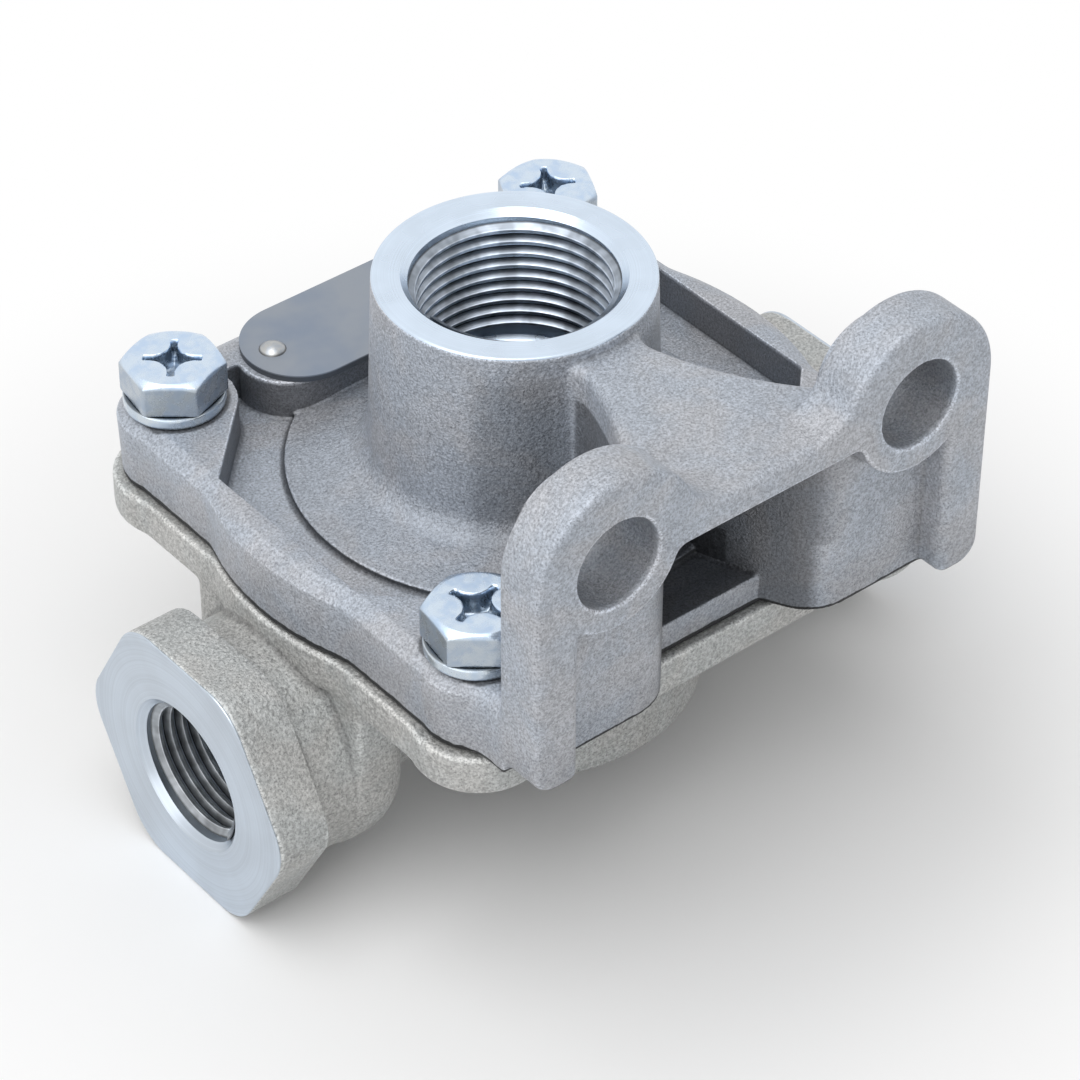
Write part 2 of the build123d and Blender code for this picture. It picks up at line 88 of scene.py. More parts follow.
# Sizes that only the dressed valve has
thread_pitch = 1.5
ridge_height = 0.86
ridge_sink = 0.08
inlet_turns = 9.5
inlet_thread_start_z = -15.3
port_turns = 8.6
collar_r = 6.6
collar_length = 2.8
collar_chamfer = 0.4
collar_sink = 0.8
set_back = 0.12
bore_clearance = 0.3
mouth_clearance = 0.35
boss_face_r = boss_top_r + 0.7
inlet_throat_z = -23.0
neck_start_x = 13.0
plate_dark_edge_z = plate_top_z - 0.3

# How near a point lies to a flat face or to a bore's wall that it belongs to, in millimetres
on_face = 0.01
on_wall = 0.03

# Brightness of painted shade and painted light, and of the dark joint line, as a share of the metal round
# them
joint_line = 0.06
washer_ring = 0.30
tray_wall = 0.42
tray_floor = 1.22
disc_foot = 0.58
web_pocket = 0.40
bolt_hole = 0.68
boss_nook = 0.72
cover_foot = 0.84
cover_brow = 1.03
thread_root = 0.32
thread_crest = 1.5
head_foot = 0.35
head_recess = 0.95
seat_and_cap_shade = 0.30


# Node helpers

def put(tree, kind, inputs=None, **settings):
    """Adds a node; an input that is another node's socket is linked, anything else is its value."""
    node = tree.nodes.new(kind)
    for key, value in settings.items():
        setattr(node, key, value)
    for key, value in (inputs or {}).items():
        if isinstance(value, bpy.types.NodeSocket):
            tree.links.new(value, node.inputs[key])
        else:
            node.inputs[key].default_value = value
    return node


def worked_out(tree, operation, *values):
    return put(tree, "ShaderNodeMath", dict(enumerate(values)), operation=operation).outputs[0]


def on_vectors(tree, operation, output, *values):
    """Vector arithmetic; output is 0 for a vector and "Value" for a number."""
    return put(tree, "ShaderNodeVectorMath", dict(enumerate(values)), operation=operation).outputs[output]


def product_of(tree, first, *others):
    for other in others:
        first = worked_out(tree, "MULTIPLY", first, other)
    return first


def squares_of(tree, a, b):
    """Square of the distance whose two legs are a and b."""
    return worked_out(tree, "ADD", product_of(tree, a, a), product_of(tree, b, b))


def parts_of(tree, vector):
    return put(tree, "ShaderNodeSeparateXYZ", {0: vector}).outputs


def ranged(tree, value, low, high, to_low=0.0, to_high=1.0):
    """Value carried smoothly from one range to another and held inside it."""
    return put(tree, "ShaderNodeMapRange", {"Value": value, "From Min": low, "From Max": high,
               "To Min": to_low, "To Max": to_high}, interpolation_type="SMOOTHSTEP").outputs[0]


def eased(tree, value, low_mm, high_mm, to_low=0.0, to_high=1.0):
    """As ranged, for a place or a distance."""
    return ranged(tree, value, low_mm * MM, high_mm * MM, to_low, to_high)


def faded(tree, value, low_mm, high_mm):
    return eased(tree, value, low_mm, high_mm, 1.0, 0.0)


def eased_reach(tree, squared, low_mm, high_mm, to_low=0.0, to_high=1.0):
    """As eased, for a distance that is given as its square."""
    return ranged(tree, squared, (low_mm * MM)**2, (high_mm * MM)**2, to_low, to_high)


def shaded(tree, mask, brightness):
    """1 where the mask is 0, and the brightness where it is 1."""
    return ranged(tree, mask, 0.0, 1.0, 1.0, brightness)


def blended(tree, factor, a, b, kind="MIX"):
    mix = put(tree, "ShaderNodeMix", {0: factor, 6: a, 7: b}, data_type="RGBA", blend_type=kind)
    return mix.outputs[2]


def grey(tree, level):
    return put(tree, "ShaderNodeCombineColor", {0: level, 1: level, 2: level}).outputs[0]


def lit(tree, colour, level):
    """Colour made brighter or darker by a level."""
    return blended(tree, 1.0, colour, grey(tree, level), "MULTIPLY")


def noise_at(tree, where, size_mm, detail=2.0, roughness=0.5, distortion=0.0):
    """Noise whose lumps are about size_mm across."""
    noise = put(tree, "ShaderNodeTexNoise", {"Vector": where, "Scale": 1 / (size_mm * MM), "Detail": detail,
                "Roughness": roughness, "Distortion": distortion})
    return noise.outputs["Fac"]


def seen_plainly(tree):
    """1 for what is looked at, straight, in gloss or through glass, and 0 for light that falls on things."""
    path = put(tree, "ShaderNodeLightPath").outputs
    seen = worked_out(tree, "MAXIMUM", path["Is Camera Ray"], path["Is Glossy Ray"])
    return worked_out(tree, "MAXIMUM", seen, path["Is Transmission Ray"])


def material(name):
    made = bpy.data.materials.new(name)
    made.use_nodes = True
    tree = made.node_tree
    where = put(tree, "ShaderNodeTexCoord").outputs["Object"]
    return made, tree, tree.nodes["Principled BSDF"], where


def dressed(tree, shader, colour, roughness, metallic, relief, relief_mm, strength):
    """Gives a shader its colour, gloss and fine relief."""
    tree.links.new(colour, shader.inputs["Base Color"])
    tree.links.new(roughness, shader.inputs["Roughness"])
    shader.inputs["Metallic"].default_value = metallic
    bump = put(tree, "ShaderNodeBump", {"Height": relief, "Distance": relief_mm * MM, "Strength": strength})
    tree.links.new(bump.outputs[0], shader.inputs["Normal"])


# Painted shade and painted light on the cover, and its dark joint line. A small number beside a size is how
# far from it, in millimetres, a shade starts or ends.

def from_screw_axis(tree, where):
    """Distance from the axis of the nearest cover screw."""
    off = on_vectors(tree, "ABSOLUTE", 0, where)
    off = on_vectors(tree, "SUBTRACT", 0, off, (screw_x * MM, screw_y * MM, 0))
    off = on_vectors(tree, "MULTIPLY", 0, off, (1, 1, 0))
    return on_vectors(tree, "LENGTH", "Value", off)


def joint_line_and_washer_shade(tree, where):
    """Dark joint line at the cover's foot and a ring of painted shade round each washer, where it sits on the
    cover.
    """
    z = parts_of(tree, where)[2]
    wobble = product_of(tree, noise_at(tree, where, 1.8, 3.0, 0.6), 0.5 * MM)
    wobbly_z = worked_out(tree, "SUBTRACT", z, wobble)
    line = eased(tree, wobbly_z, joint_z + 0.68, joint_z + 0.78, joint_line, 1.0)
    # Painted shade in a ring round each washer's foot
    near_washer = faded(tree, from_screw_axis(tree, where), washer_outer_r + 0.1, washer_outer_r + 0.65)
    ring = product_of(tree, near_washer, eased(tree, z, border_z - 0.5, border_z - 0.2))
    return product_of(tree, line, shaded(tree, ring, washer_ring))


def tray_shade(tree, across, along, z, reach, normal):
    """Painted shade on the upright walls, painted light on the floor and a painted dark line round the disc's
    foot.
    """
    steep = ranged(tree, worked_out(tree, "ABSOLUTE", normal[2]), 0.25, 0.6, 1.0, 0.0)
    level = ranged(tree, steep, 0.2, 0.6, 1.0, 0.0)
    above_floor = eased(tree, z, floor_z - 0.1, floor_z + 0.5)
    below_border = faded(tree, z, border_z - 0.6, border_z - 0.1)
    inside = product_of(tree, faded(tree, across, tray_half_x + 0.3, tray_half_x + 0.7),
                        faded(tree, along, tray_back_y + 0.4, tray_back_y + 1.0))
    off_boss = eased_reach(tree, reach, boss_base_r + 1.4, boss_base_r + 2.9)
    wall = product_of(tree, steep, above_floor, below_border, inside, off_boss)
    floor = product_of(tree, inside, below_border, level, eased_reach(tree, reach, disc_r, disc_r + 0.2))
    foot = product_of(tree, eased_reach(tree, reach, disc_r - 0.3, disc_r - 0.1),
                      eased_reach(tree, reach, disc_r + 0.05, disc_r + 0.7, 1.0, 0.0),
                      inside, faded(tree, z, floor_z + 0.6, floor_z + 0.75))
    return product_of(tree, shaded(tree, wall, tray_wall), shaded(tree, floor, tray_floor),
                      shaded(tree, foot, disc_foot))


def pocket_shade(tree, across, y, z, normal):
    """Painted shade in the pocket under the web, whose floor starts behind the flange's front."""
    sideways = ranged(tree, worked_out(tree, "ABSOLUTE", normal[0]), 0.3, 0.7)
    upper = worked_out(tree, "MAXIMUM", eased(tree, z, border_z + 0.1, border_z + 0.4), sideways)
    front = blended(tree, upper, grey(tree, eased(tree, y, flange_front_y, flange_front_y + 0.6)),
                    grey(tree, eased(tree, y, bracket_face_y + 1.3, bracket_face_y + 5.8)))
    pocket_back_y = -15.5
    back = faded(tree, y, pocket_back_y, pocket_back_y + 1.0)
    under = faded(tree, z, window_top_z - 0.9, window_top_z - 0.2)
    between = faded(tree, across, window_half_x - 3.7, window_half_x + 3.3)
    return shaded(tree, product_of(tree, front, back, under, between), web_pocket)


def bolt_hole_shade(tree, across, y, z):
    """Painted shade on the walls of the two bolt holes, through the ear and its collar."""
    off = squares_of(tree, worked_out(tree, "SUBTRACT", across, bracket_hole_x * MM),
                     worked_out(tree, "SUBTRACT", z, bracket_hole_z * MM))
    hole = product_of(tree, eased_reach(tree, off, bracket_hole_r, bracket_hole_r + 0.25, 1.0, 0.0),
                      eased(tree, y, bracket_face_y + 0.4, bracket_face_y + 1.0),
                      faded(tree, y, ear_back_y + 3.8, ear_back_y + 5.8))
    return shaded(tree, hole, bolt_hole)


def nook_shade(tree, across, y, z, reach):
    """Painted shade in the nook on each side of the web where it meets the boss."""
    nook_x, nook_y, nook_z = 10.5, -12.5, -4.5
    darkest_r, nook_r = 1.5, 6.0
    off = squares_of(tree, worked_out(tree, "SUBTRACT", across, nook_x * MM),
                     worked_out(tree, "SUBTRACT", y, nook_y * MM))
    nook = product_of(tree, eased_reach(tree, off, darkest_r, nook_r, 1.0, 0.0),
                      faded(tree, z, nook_z, nook_z + 3.0),
                      eased_reach(tree, reach, boss_base_r + 1.6, boss_base_r + 2.9, 1.0, 0.0))
    return shaded(tree, nook, boss_nook)


def cover_shade(tree, where):
    """Every painted shade and painted light of the cover in one, with its dark joint line, and painted shade
    towards its foot with a little painted light at its top.
    """
    x, y, z = parts_of(tree, where)
    across = worked_out(tree, "ABSOLUTE", x)
    along = worked_out(tree, "ABSOLUTE", y)
    reach = squares_of(tree, x, y)
    normal = parts_of(tree, put(tree, "ShaderNodeNewGeometry").outputs["Normal"])
    foot = eased(tree, z, joint_z + 1.0, border_z + 0.4, cover_foot, cover_brow)
    return product_of(tree, foot, tray_shade(tree, across, along, z, reach, normal),
                      pocket_shade(tree, across, y, z, normal), bolt_hole_shade(tree, across, y, z),
                      nook_shade(tree, across, y, z, reach), joint_line_and_washer_shade(tree, where))


# Finishes

def cast_metal(name, tone, warm, cool, grain_mm, relief_mm, roughness, is_cover=False):
    """Die-cast aluminium: pebbled skin, faint stains, edges rubbed bright with a painted highlight, and
    painted shade in hollows.
    """
    made, tree, shader, where = material(name)
    wear_and_shade = put(tree, "ShaderNodeAttribute", attribute_name="edge_bulge").outputs["Fac"]
    pebbles = noise_at(tree, where, grain_mm, 2.0, 0.7)
    pits = noise_at(tree, where, grain_mm * 0.6, 1.0, 0.5)
    patches = noise_at(tree, where, 5.0, 3.0, 0.6)
    stains = noise_at(tree, where, 9.0, 3.0, 0.55, 0.5)
    colour = blended(tree, ranged(tree, stains, 0.36, 0.64), (*cool, 1), (*warm, 1))
    evenness = 0.58
    colour = blended(tree, evenness, colour, (*tone, 1))
    patchy = ranged(tree, patches, 0.3, 0.7, 0.95, 1.05)
    speckled = product_of(tree, ranged(tree, pebbles, 0.3, 0.7, 0.72, 1.27),
                          ranged(tree, pits, 0.28, 0.45, 0.66, 1.0))
    # Worn edges rubbed bright, partly real wear and partly a painted highlight
    rubbed_and_highlit = product_of(tree, ranged(tree, wear_and_shade, 0.16, 0.44), ranged(tree, pits, 0.35, 0.60, 0.35, 1.0))
    # Painted shade in hollows and creases
    hollow = ranged(tree, wear_and_shade, -0.42, -0.08, 0.55, 1.0)
    shine = 0.36
    # On the cover, a stronger painted highlight along the border's ridge
    if is_cover:
        shine = eased(tree, parts_of(tree, where)[2], border_z + 0.2, border_z + 0.8, 0.60, 0.50)
    shine = worked_out(tree, "ADD", 1.0, product_of(tree, rubbed_and_highlit, shine))
    level = product_of(tree, patchy, speckled, shine, hollow)
    if is_cover:
        level = product_of(tree, level, cover_shade(tree, where))
    coarse = product_of(tree, noise_at(tree, where, grain_mm * 3.0, 2.0, 0.5), 0.8)
    relief = worked_out(tree, "ADD", noise_at(tree, where, grain_mm * 0.9, 2.0, 0.55), coarse)
    gloss = ranged(tree, pebbles, 0.2, 0.8, roughness - 0.1, roughness + 0.1)
    dressed(tree, shader, lit(tree, colour, level), gloss, 0.4, relief, relief_mm, 1.0)
    return made


def thread_shade(tree, local, distance, axis, bore_r):
    """Painted shade at a thread's root, a painted highlight at its crest and painted reflection streaks round
    the bore.
    """
    crest_r = bore_r - ridge_height * (1 - ridge_sink)
    root = eased(tree, distance, bore_r - 0.20, bore_r - 0.04, 1.0, thread_root)
    crest = eased(tree, distance, crest_r + 0.04, crest_r + 0.14, thread_crest, 1.0)
    # Painted reflection streaks, drawn out along the bore's axis
    squeezed = [0.12 if i == axis else 1.0 for i in range(3)]
    streak_at = on_vectors(tree, "MULTIPLY", 0, local, squeezed)
    streaks = ranged(tree, noise_at(tree, streak_at, 2.4, 2.0, 0.6), 0.34, 0.66, 0.70, 1.28)
    return product_of(tree, streaks, root, crest)


def turned_metal(name, tone, axis, centre, roughness, bore_r=None):
    """Face, bore or thread cut on a lathe, with fine rings round its axis."""
    made, tree, shader, where = material(name)
    local = on_vectors(tree, "SUBTRACT", 0, where, [c * MM for c in centre])
    parts = parts_of(tree, local)
    aside, ahead = (parts[i] for i in range(3) if i != axis)
    distance = worked_out(tree, "SQRT", squares_of(tree, aside, ahead))
    ring_at = put(tree, "ShaderNodeCombineXYZ", {0: distance, 2: parts[axis]}).outputs[0]
    rings = noise_at(tree, ring_at, 0.16, 3.0, 0.7)
    smears = noise_at(tree, where, 6.0, 2.0, 0.5)
    level = product_of(tree, ranged(tree, rings, 0.3, 0.7, 0.93, 1.06),
                       ranged(tree, smears, 0.3, 0.7, 0.95, 1.04))
    if bore_r:
        level = product_of(tree, level, thread_shade(tree, local, distance, axis, bore_r))
    gloss = ranged(tree, smears, 0.3, 0.7, roughness - 0.04, roughness + 0.05)
    dressed(tree, shader, lit(tree, (*tone, 1), level), gloss, 1.0, rings, 0.004, 0.6)
    return made


def head_colour(tree, where, height, top, painted_flats_tone):
    """A screw's flats are painted darker than its top as a painted reflection, with painted shade in its
    recess and at its foot in the washer's gap.
    """
    colour = blended(tree, eased(tree, height, head_top_z - 0.75, head_top_z - 0.3), (*painted_flats_tone, 1), top)
    deep = product_of(tree, faded(tree, height, head_top_z - 0.35, head_top_z - 0.08),
                      faded(tree, from_screw_axis(tree, where), recess_reach + 0.05, recess_reach + 0.35))
    foot = eased(tree, height, head_bottom_z + 0.05, head_bottom_z + 0.22, head_foot, 1.0)
    return lit(tree, colour, product_of(tree, shaded(tree, deep, head_recess), foot))


def plated_steel(name, tone, roughness, tarnish_mm=1.5, metallic=1.0, painted_flats_tone=None, seat_z=None,
                 cap_z=None):
    """Plated metal, faintly blue, with soft tarnish; painted shade where it sits on its seat and under its
    cap.
    """
    made, tree, shader, where = material(name)
    tarnish = noise_at(tree, where, tarnish_mm, 3.0, 0.55)
    colour = (*tone, 1)
    height = parts_of(tree, where)[2]
    if painted_flats_tone:
        colour = head_colour(tree, where, height, colour, painted_flats_tone)
    # Painted shade along the foot where it sits on its seat, and just under its cap
    if seat_z is not None:
        colour = lit(tree, colour, eased(tree, height, seat_z + 0.06, seat_z + 0.24, seat_and_cap_shade, 1.0))
    if cap_z is not None:
        colour = lit(tree, colour, eased(tree, height, cap_z - 0.16, cap_z - 0.04, 1.0, seat_and_cap_shade))
    dulled = blended(tree, 1.0, colour, (0.82, 0.88, 0.97, 1), "MULTIPLY")
    colour = blended(tree, ranged(tree, tarnish, 0.35, 0.7), colour, dulled)
    gloss = ranged(tree, tarnish, 0.3, 0.7, roughness - 0.05, roughness + 0.08)
    dressed(tree, shader, colour, gloss, metallic, noise_at(tree, where, 0.12, 2.0, 0.5), 0.006, 0.4)
    return made


def black_rubber(name):
    """Rubber with a faint grey bloom."""
    made, tree, shader, where = material(name)
    bloom = noise_at(tree, where, 2.5, 3.0, 0.6)
    colour = blended(tree, ranged(tree, bloom, 0.4, 0.7), (0.018, 0.018, 0.019, 1), (0.035, 0.035, 0.036, 1))
    gloss = ranged(tree, bloom, 0.3, 0.7, 0.5, 0.7)
    dressed(tree, shader, colour, gloss, 0.0, noise_at(tree, where, 0.2), 0.01, 0.5)
    return made


inlet_axis, port_axis = 2, 0
inlet_centre, port_centre = (0, 0, 0), (0, 0, port_z)

cover_skin = cast_metal("cover_casting_skin", tone=(0.41, 0.44, 0.485), warm=(0.45, 0.435, 0.445),
                        cool=(0.395, 0.435, 0.505), grain_mm=0.30, relief_mm=0.11, roughness=0.5,
                        is_cover=True)
body_skin = cast_metal("body_casting_skin", tone=(0.475, 0.48, 0.475), warm=(0.495, 0.485, 0.465),
                       cool=(0.46, 0.485, 0.485), grain_mm=0.36, relief_mm=0.15, roughness=0.55)
inlet_cut = turned_metal("inlet_machined", (0.68, 0.78, 0.90), inlet_axis, inlet_centre, 0.28)
port_cut = turned_metal("port_machined", (0.56, 0.62, 0.69), port_axis, port_centre, 0.34)
# The threads' tones are painted darker than the machined faces, as painted shade inside the bores
thread_cut = turned_metal("thread_machined", (0.345, 0.385, 0.44), inlet_axis, inlet_centre, 0.34,
                          inlet_thread_r)
port_thread_cut = turned_metal("port_thread_machined", (0.35, 0.37, 0.39), port_axis, port_centre, 0.34,
                               port_thread_r)
# The screws' flats take a darker tone than their tops, a painted reflection
zinc = plated_steel("zinc_plated_steel", (0.66, 0.76, 0.87), 0.26, painted_flats_tone=(0.46, 0.51, 0.56))
spring = plated_steel("spring_steel", (0.62, 0.68, 0.73), 0.25, seat_z=border_z, cap_z=head_bottom_z)
plate_metal = plated_steel("name_plate_metal", (0.29, 0.32, 0.365), 0.5, tarnish_mm=8.0, metallic=0.3,
                           seat_z=plate_dark_edge_z)
rivet_metal = plated_steel("rivet_metal", (0.50, 0.50, 0.49), 0.36, tarnish_mm=0.6, seat_z=plate_top_z)
rubber = black_rubber("black_rubber")


# Geometry Nodes trees

def new_tree(name, sockets):
    """Tree with the named inputs, and those inputs in their order."""
    tree = bpy.data.node_groups.new(name, "GeometryNodeTree")
    for label, kind in sockets:
        tree.interface.new_socket(name=label, in_out="INPUT", socket_type=kind)
    tree.interface.new_socket(name="Geometry", in_out="OUTPUT", socket_type="NodeSocketGeometry")
    given = put(tree, "NodeGroupInput")
    return tree, [given.outputs[i] for i in range(len(sockets))]


def end_tree(tree, geometry, finish):
    real = put(tree, "GeometryNodeRealizeInstances", {"Geometry": geometry})
    painted = put(tree, "GeometryNodeSetMaterial", {"Geometry": real.outputs[0], "Material": finish})
    out = put(tree, "NodeGroupOutput")
    tree.links.new(painted.outputs[0], out.inputs[0])
    return tree


def add_tree(obj, tree, values):
    """Adds the tree as a modifier and sets its named inputs."""
    modifier = obj.modifiers.new(tree.name, "NODES")
    modifier.node_group = tree
    for item in tree.interface.items_tree:
        if item.name in values:
            modifier[item.identifier] = values[item.name]


def plain_mesh(obj, name):
    """The evaluated object as a plain mesh."""
    graph = bpy.context.evaluated_depsgraph_get()
    mesh = bpy.data.meshes.new_from_object(obj.evaluated_get(graph), preserve_all_data_layers=True,
                                           depsgraph=graph)
    mesh.name = name
    return mesh


def new_object(name, data):
    obj = bpy.data.objects.new(name, data)
    bpy.context.scene.collection.objects.link(obj)
    return obj


def smoothed(mesh, sharp_angle):
    """Smooth shading, broken at corners that turn by more than the angle in degrees."""
    for face in mesh.polygons:
        face.use_smooth = True
    mesh.set_sharp_from_angle(angle=radians(sharp_angle))
    return mesh


def screw_thread_tree():
    """Ridge of an internal thread: a sloped profile carried along a helix on the wall of a bore."""
    tree, (bore, pitch, turns, height, finish) = new_tree("screw_thread", [
        ("Bore radius", "NodeSocketFloat"), ("Pitch", "NodeSocketFloat"), ("Turns", "NodeSocketFloat"),
        ("Ridge height", "NodeSocketFloat"), ("Finish", "NodeSocketMaterial")])
    helix = put(tree, "GeometryNodeCurveSpiral", {"Resolution": 96, "Rotations": turns, "Start Radius": bore,
                "End Radius": bore, "Height": product_of(tree, pitch, turns)})
    upright = put(tree, "GeometryNodeSetCurveNormal", {"Curve": helix.outputs[0]}, mode="Z_UP")
    # The ridge grows from a low start and runs out at its end, over a part of a turn
    run_in, run_out, lowest = 0.3, 0.5, 0.05
    along = put(tree, "GeometryNodeSplineParameter").outputs["Factor"]
    left = worked_out(tree, "SUBTRACT", 1.0, along)
    begun = ranged(tree, product_of(tree, along, turns), 0.0, run_in, lowest, 1.0)
    ended = ranged(tree, product_of(tree, left, turns), 0.0, run_out, lowest, 1.0)
    swelled = put(tree, "GeometryNodeSetCurveRadius", {"Curve": upright.outputs[0],
                  "Radius": product_of(tree, begun, ended)})
    root_share, crest_share = 0.96, 0.2
    profile = put(tree, "GeometryNodeCurvePrimitiveQuadrilateral", {
        "Bottom Width": product_of(tree, pitch, root_share), "Offset": 0.0,
        "Top Width": product_of(tree, pitch, crest_share), "Height": height}, mode="TRAPEZOID")
    inwards = put(tree, "ShaderNodeCombineXYZ", {0: product_of(tree, height, 0.5 - ridge_sink)}).outputs[0]
    turned = put(tree, "GeometryNodeTransform", {"Geometry": profile.outputs[0], "Rotation": (0, 0, -pi / 2),
                 "Translation": inwards})
    ridge = put(tree, "GeometryNodeCurveToMesh", {"Curve": swelled.outputs[0],
                "Profile Curve": turned.outputs[0], "Fill Caps": True})
    return end_tree(tree, ridge.outputs[0], finish)


def casting_tree():
    """Softens a casting's edges, gives its skin a slow waviness and notes how far each point stands out or
    sinks in, which the finish turns into worn edges with a painted highlight and painted shade in hollows.
    """
    tree, (geometry, steps, height, size, finish) = new_tree("casting_skin", [
        ("Geometry", "NodeSocketGeometry"), ("Softening", "NodeSocketInt"),
        ("Wave height", "NodeSocketFloat"), ("Wave size", "NodeSocketFloat"),
        ("Finish", "NodeSocketMaterial")])
    place = put(tree, "GeometryNodeInputPosition").outputs[0]
    normal = put(tree, "GeometryNodeInputNormal").outputs[0]
    # How far a point stands out of a widely smoothed skin, in shares of a full edge
    wide_steps, full_edge = 8, 0.34
    wide = put(tree, "GeometryNodeBlurAttribute", {"Value": place, "Iterations": wide_steps, "Weight": 1.0},
               data_type="FLOAT_VECTOR")
    shift = on_vectors(tree, "SUBTRACT", 0, place, wide.outputs[0])
    bulge = product_of(tree, on_vectors(tree, "DOT_PRODUCT", "Value", shift, normal), 1 / (full_edge * MM))
    noted = put(tree, "GeometryNodeStoreNamedAttribute", {"Geometry": geometry, "Name": "edge_bulge",
                "Value": bulge}, data_type="FLOAT", domain="POINT")
    soft = put(tree, "GeometryNodeBlurAttribute", {"Value": place, "Iterations": steps, "Weight": 1.0},
               data_type="FLOAT_VECTOR")
    softened = put(tree, "GeometryNodeSetPosition", {"Geometry": noted.outputs[0],
                   "Position": soft.outputs[0]})
    # The waves only sink the skin, so that it stays inside its solid
    waves = put(tree, "ShaderNodeTexNoise", {"Vector": place, "Scale": worked_out(tree, "DIVIDE", 1.0, size),
                "Detail": 2.0, "Roughness": 0.6})
    level = worked_out(tree, "SUBTRACT", waves.outputs["Fac"], 1.0)
    lift = put(tree, "ShaderNodeVectorMath", {0: normal, "Scale": product_of(tree, level, height)},
               operation="SCALE").outputs[0]
    waved = put(tree, "GeometryNodeSetPosition", {"Geometry": softened.outputs[0], "Offset": lift})
    smooth = put(tree, "GeometryNodeSetShadeSmooth", {"Geometry": waved.outputs[0], "Shade Smooth": True})
    return end_tree(tree, smooth.outputs[0], finish)


casting_skin = casting_tree()
screw_thread = screw_thread_tree()


# Mesh helpers, which take millimetres

def placed(mesh, turn):
    mesh.transform(turn)
    return mesh


def moved_by(x, y, z):
    return Matrix.Translation((x * MM, y * MM, z * MM))


def merged_copy(node_name, cut_back):
    """Copy of a CAD node with its loose triangles joined and its points moved by cut_back."""
    mesh = nodes[node_name].data.copy()
    bm = bmesh.new()
    bm.from_mesh(mesh)
    bmesh.ops.remove_doubles(bm, verts=bm.verts, dist=0.002 * MM)
    for vert in bm.verts:
        vert.co = Vector(cut_back(*(vert.co / MM))) * MM
    bm.to_mesh(mesh)
    bm.free()
    mesh.materials.clear()
    return mesh


def turned_shell(name, profile, turn, finish, steps, outline=None):
    """Ring turned from a closed profile of (radius, height); a radius below 0 is counted from the outline."""
    bm = bmesh.new()
    rows = []
    for k in range(steps):
        angle = 2 * pi * k / steps
        row = []
        for r, h in profile:
            reach = outline(angle) + r if r < 0 else r
            row.append(bm.verts.new(turn @ Vector((reach * cos(angle), reach * sin(angle), h)) * MM))
        rows.append(row)
    for k in range(steps):
        a, b = rows[k], rows[(k + 1) % steps]
        for i in range(len(profile)):
            j = (i + 1) % len(profile)
            bm.faces.new((a[i], a[j], b[j], b[i]))
    bmesh.ops.recalc_face_normals(bm, faces=bm.faces)
    mesh = bpy.data.meshes.new(name)
    bm.to_mesh(mesh)
    bm.free()
    mesh.materials.append(finish)
    return smoothed(mesh, sharp_angle=20)


def thread_ridge(name, bore_r, turns, finish):
    """Ridge of a thread round the Z axis, starting at z = 0, grown on an empty mesh."""
    seed = new_object(name + "_seed", bpy.data.meshes.new(name + "_seed"))
    add_tree(seed, screw_thread, {"Bore radius": bore_r * MM, "Pitch": thread_pitch * MM, "Turns": turns,
                                  "Ridge height": ridge_height * MM, "Finish": finish})
    mesh = plain_mesh(seed, name)
    bpy.data.objects.remove(seed)
    return smoothed(mesh, sharp_angle=25)


def together(meshes, whole):
    """Puts several meshes into one; gives the finishes met on the way, which the faces keep."""
    bm = bmesh.new()
    finishes = []
    for mesh in meshes:
        start = len(bm.faces)
        bm.from_mesh(mesh)
        bm.faces.ensure_lookup_table()
        for face in bm.faces[start:]:
            face.material_index += len(finishes)
        finishes.extend(mesh.materials)
    bm.to_mesh(whole)
    bm.free()
    return finishes


def joined(name, meshes):
    """Several meshes as one object, each with its own finish."""
    whole = bpy.data.meshes.new(name)
    for finish in together(meshes, whole):
        whole.materials.append(finish)
    return new_object(name, whole)


def skinned(name, solid, voxel_mm, softening, wave_mm, wave_size_mm, finish, triangles):
    """One closed skin round a solid, with softened edges, thinned to a number of triangles."""
    blank = new_object(name + "_blank", solid)
    skin = blank.modifiers.new("skin", "REMESH")
    skin.mode = "VOXEL"
    skin.voxel_size = voxel_mm * MM
    add_tree(blank, casting_skin, {"Softening": softening, "Wave height": wave_mm * MM,
                                   "Wave size": wave_size_mm * MM, "Finish": finish})
    dense = plain_mesh(blank, name + "_dense")
    blank.modifiers.clear()
    blank.data = dense
    thin = blank.modifiers.new("thin", "DECIMATE")
    # The remesh gives four-sided faces, which are two triangles each
    thin.ratio = min(1.0, triangles / (len(dense.polygons) * 2))
    mesh = plain_mesh(blank, name + "_skin")
    bpy.data.objects.remove(blank)
    return mesh


def widened(a, b, bores):
    """A point of a bore's wall moved outwards by that bore's clearance; any other point stays."""
    r = hypot(a, b)
    for bore_r, clearance in bores:
        if abs(r - bore_r) < on_wall:
            a, b = a * (r + clearance) / r, b * (r + clearance) / r
    return a, b


# Cover

inlet_bores = ((inlet_thread_r, bore_clearance), (inlet_mouth_r, mouth_clearance),
               (inlet_passage_r, bore_clearance))


def cover_cut_back(x, y, z):
    """Makes room under the boss's machined face and round the inlet's bores for the machined shell."""
    if abs(z) < on_face and hypot(x, y) < boss_face_r:
        z = -set_back
    if z > inlet_throat_z:
        x, y = widened(x, y, inlet_bores)
    return x, y, z


